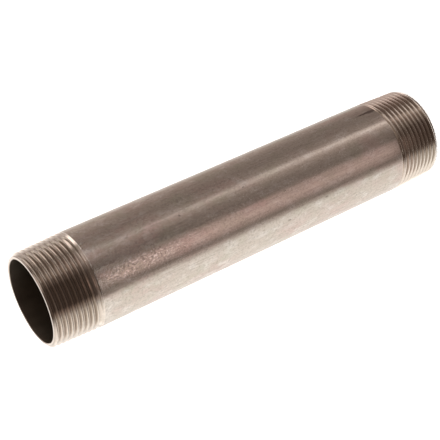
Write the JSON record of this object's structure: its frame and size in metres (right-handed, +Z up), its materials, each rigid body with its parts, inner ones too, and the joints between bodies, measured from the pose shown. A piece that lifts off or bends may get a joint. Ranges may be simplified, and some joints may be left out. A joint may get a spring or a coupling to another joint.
{
  "type": "pipe nipple",
  "caption": "Barrel pipe nipple: a straight stainless tube with a right-hand taper pipe thread cut on each end, a lead-in chamfer at each end face and a plain bore right through.",
  "frame": {"origin": "Centre of the bottom end face, on the bore's axis.", "axes": "+Z runs up the bore from the bottom end to the top end. X and Y are square to it."},
  "size_m": [0.0424, 0.0424, 0.2],
  "materials": {
    "stainless_steel": "Satin mill-finished stainless tube with faint lengthwise drawing streaks and small handling marks, and brighter machined threads."
  },
  "bodies": {
    "root": {"pipe_nipple": "stainless_steel"}
  },
  "joints": []
}
